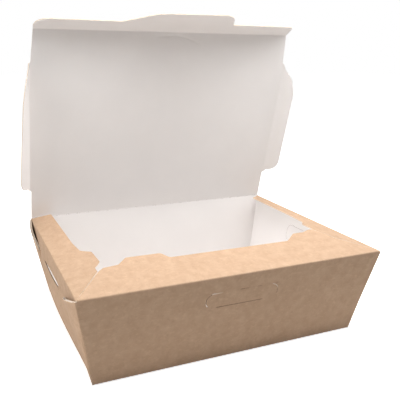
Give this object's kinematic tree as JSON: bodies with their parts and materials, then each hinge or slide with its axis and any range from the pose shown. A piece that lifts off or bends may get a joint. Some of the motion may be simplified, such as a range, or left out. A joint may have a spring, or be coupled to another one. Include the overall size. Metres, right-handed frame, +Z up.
{
  "type": "takeaway box",
  "caption": "Folded kraft board food box with flared walls, mitred rim flanges and a hinged lid with tuck flap, tongue and side ears, standing open.",
  "frame": {"origin": "middle of the flat underside, on the surface that the box stands on", "axes": "+X along the front to the right, +Y from the front wall to the lid's hinge, +Z up"},
  "size_m": [0.2215, 0.1376, 0.2024],
  "materials": {
    "kraft_board": "uncoated kraft outside, white inside"
  },
  "bodies": {
    "tray": {"tray": "kraft_board"},
    "lid": {"lid": "kraft_board"},
    "tuck_flap": {"tuck_flap": "kraft_board"},
    "left_ear": {"left_ear": "kraft_board"},
    "right_ear": {"right_ear": "kraft_board"},
    "left_flange": {"left_flange": "kraft_board"},
    "right_flange": {"right_flange": "kraft_board"},
    "front_flange": {"front_flange": "kraft_board"}
  },
  "joints": [
    {"name": "lid_hinge", "type": "hinge", "parent": "tray", "child": "lid", "pos_m": [0, 0.06855, 0.05785], "axis": [-1, 0, 0], "range_deg": [-79.1, 100.9]},
    {"name": "tuck_flap_fold", "type": "hinge", "parent": "lid", "child": "tuck_flap", "pos_m": [0, 0.04245, 0.19336], "axis": [1, 0, 0], "range_deg": [-62, 28]},
    {"name": "left_ear_fold", "type": "hinge", "parent": "lid", "child": "left_ear", "pos_m": [-0.10035, 0.05551, 0.12556], "axis": [0, -0.1891, 0.982], "range_deg": [-52, 38]},
    {"name": "right_ear_fold", "type": "hinge", "parent": "lid", "child": "right_ear", "pos_m": [0.10035, 0.05551, 0.12556], "axis": [0, 0.1891, -0.982], "range_deg": [-25, 65]},
    {"name": "left_flange_fold", "type": "hinge", "parent": "tray", "child": "left_flange", "pos_m": [-0.09945, 0, 0.05705], "axis": [0, -1, 0], "range_deg": [-11, 14.05]},
    {"name": "right_flange_fold", "type": "hinge", "parent": "tray", "child": "right_flange", "pos_m": [0.09945, 0, 0.05705], "axis": [0, 1, 0], "range_deg": [-11, 14.05]},
    {"name": "front_flange_fold", "type": "hinge", "parent": "tray", "child": "front_flange", "pos_m": [0, -0.06855, 0.05705], "axis": [1, 0, 0], "range_deg": [-8.3, 10.6]}
  ],
  "couplings": [
    {"joint": "left_flange_fold", "follows": "lid_hinge", "ratio": 0.139},
    {"joint": "right_flange_fold", "follows": "lid_hinge", "ratio": 0.139},
    {"joint": "front_flange_fold", "follows": "lid_hinge", "ratio": 0.1049}
  ]
}
